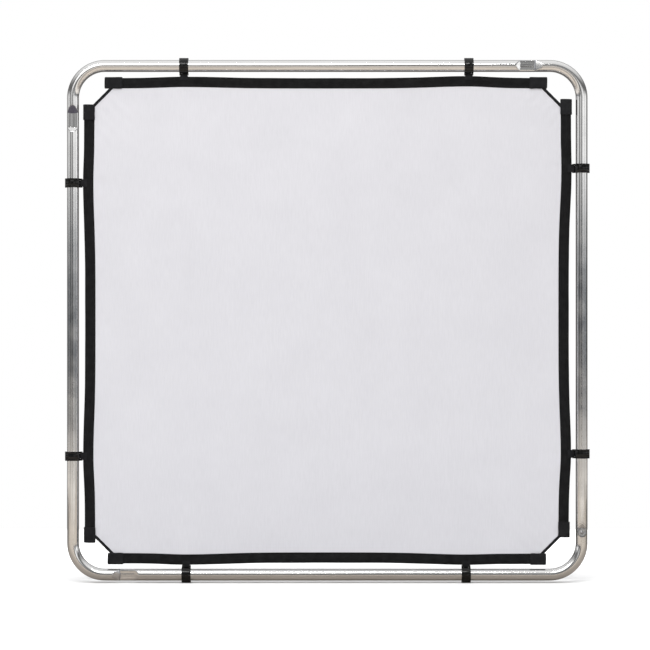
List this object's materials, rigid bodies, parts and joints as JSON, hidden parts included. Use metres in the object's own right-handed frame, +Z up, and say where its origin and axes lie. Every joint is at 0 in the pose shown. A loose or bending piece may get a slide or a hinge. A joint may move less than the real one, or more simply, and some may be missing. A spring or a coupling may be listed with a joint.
{
  "type": "scrim frame",
  "caption": "Square collapsible frame of plug-together round tube with a white diffusion cover held on by hinged clips, for softening light.",
  "frame": {"origin": "middle of the bottom tube's axis, where a stand clamp holds the tube", "axes": "+X along the bottom tube to the right as seen from the front, +Z up, the front of the cover faces -Y"},
  "size_m": [1.1088, 0.0312, 1.1088],
  "materials": {
    "tube_aluminium": "polished drawn tube with lengthwise streaks",
    "die_cast": "bare grey die casting, satin",
    "rivet_steel": "plated steel",
    "elastic_cord": "braided cover",
    "diffusion_fabric": "thin white translucent woven nylon",
    "hem_fabric": "black woven hem, matt with a slight sheen",
    "webbing": "black ribbed webbing",
    "rod_fibreglass": "pultruded glass fibre",
    "clip_plastic": "glossy moulded black plastic"
  },
  "bodies": {
    "bottom_section": {"bottom_tube": "tube_aluminium", "bottom_right_insert": "die_cast", "bottom_cord": "elastic_cord", "bottom_right_rivet": "rivet_steel", "bottom_left_cord_bridge": "elastic_cord"},
    "left_section": {"left_tube": "tube_aluminium", "bottom_left_insert": "die_cast", "left_cord": "elastic_cord", "top_left_cord_bridge": "elastic_cord"},
    "top_section": {"top_tube": "tube_aluminium", "top_left_insert": "die_cast", "top_cord": "elastic_cord", "top_right_cord_bridge": "elastic_cord"},
    "right_section": {"right_tube": "tube_aluminium", "top_right_insert": "die_cast", "right_cord": "elastic_cord", "cord_stop": "die_cast"},
    "cover": {"diffusion_cloth": "diffusion_fabric", "bottom_hem": "hem_fabric", "bottom_rod": "rod_fibreglass", "bottom_patch_left": "webbing", "bottom_patch_right": "webbing", "bottom_right_binding": "webbing", "bottom_tab_left": "webbing", "bottom_tab_right": "webbing", "left_hem": "hem_fabric", "left_rod": "rod_fibreglass", "left_patch_upper": "webbing", "left_patch_lower": "webbing", "bottom_left_binding": "webbing", "left_tab_upper": "webbing", "left_tab_lower": "webbing", "top_hem": "hem_fabric", "top_rod": "rod_fibreglass", "top_patch_right": "webbing", "top_patch_left": "webbing", "top_left_binding": "webbing", "top_tab_left": "webbing", "top_tab_right": "webbing", "right_hem": "hem_fabric", "right_rod": "rod_fibreglass", "right_patch_lower": "webbing", "right_patch_upper": "webbing", "top_right_binding": "webbing", "right_tab_lower": "webbing", "right_tab_upper": "webbing"},
    "bottom_clip_left_hook": {"bottom_clip_left": "clip_plastic"},
    "bottom_clip_right_hook": {"bottom_clip_right": "clip_plastic"},
    "left_clip_upper_hook": {"left_clip_upper": "clip_plastic"},
    "left_clip_lower_hook": {"left_clip_lower": "clip_plastic"},
    "top_clip_left_hook": {"top_clip_left": "clip_plastic"},
    "top_clip_right_hook": {"top_clip_right": "clip_plastic"},
    "right_clip_lower_hook": {"right_clip_lower": "clip_plastic"},
    "right_clip_upper_hook": {"right_clip_upper": "clip_plastic"}
  },
  "joints": [
    {"name": "cover_lift", "type": "slide", "parent": "bottom_section", "child": "cover", "axis": [0, -1, 0], "range_m": [0, 0.45]},
    {"name": "left_pull", "type": "slide", "parent": "bottom_section", "child": "left_section", "axis": [-1, 0, 0], "range_m": [0, 0.045], "deforming": ["bottom_left_cord_bridge"]},
    {"name": "top_pull", "type": "slide", "parent": "left_section", "child": "top_section", "axis": [0, 0, 1], "range_m": [0, 0.045], "deforming": ["top_left_cord_bridge"]},
    {"name": "right_pull", "type": "slide", "parent": "top_section", "child": "right_section", "axis": [1, 0, 0], "range_m": [0, 0.045], "deforming": ["top_right_cord_bridge"]},
    {"name": "bottom_clip_left_swing", "type": "hinge", "parent": "cover", "child": "bottom_clip_left_hook", "pos_m": [-0.298, 0, 0.0169], "axis": [-1, 0, 0], "range_deg": [0, 50]},
    {"name": "bottom_clip_right_swing", "type": "hinge", "parent": "cover", "child": "bottom_clip_right_hook", "pos_m": [0.293, 0, 0.0169], "axis": [-1, 0, 0], "range_deg": [0, 50]},
    {"name": "left_clip_upper_swing", "type": "hinge", "parent": "cover", "child": "left_clip_upper_hook", "pos_m": [-0.5206, 0, 0.8275], "axis": [0, 0, 1], "range_deg": [0, 50]},
    {"name": "left_clip_lower_swing", "type": "hinge", "parent": "cover", "child": "left_clip_lower_hook", "pos_m": [-0.5206, 0, 0.2505], "axis": [0, 0, 1], "range_deg": [0, 50]},
    {"name": "top_clip_left_swing", "type": "hinge", "parent": "cover", "child": "top_clip_left_hook", "pos_m": [-0.303, 0, 1.0581], "axis": [1, 0, 0], "range_deg": [0, 50]},
    {"name": "top_clip_right_swing", "type": "hinge", "parent": "cover", "child": "top_clip_right_hook", "pos_m": [0.299, 0, 1.0581], "axis": [1, 0, 0], "range_deg": [0, 50]},
    {"name": "right_clip_lower_swing", "type": "hinge", "parent": "cover", "child": "right_clip_lower_hook", "pos_m": [0.5206, 0, 0.2555], "axis": [0, 0, -1], "range_deg": [0, 50]},
    {"name": "right_clip_upper_swing", "type": "hinge", "parent": "cover", "child": "right_clip_upper_hook", "pos_m": [0.5206, 0, 0.8585], "axis": [0, 0, -1], "range_deg": [0, 50]}
  ],
  "couplings": [
    {"joint": "left_pull", "follows": "cover_lift", "ratio": 0.1},
    {"joint": "top_pull", "follows": "cover_lift", "ratio": 0.1},
    {"joint": "right_pull", "follows": "cover_lift", "ratio": 0.1}
  ]
}
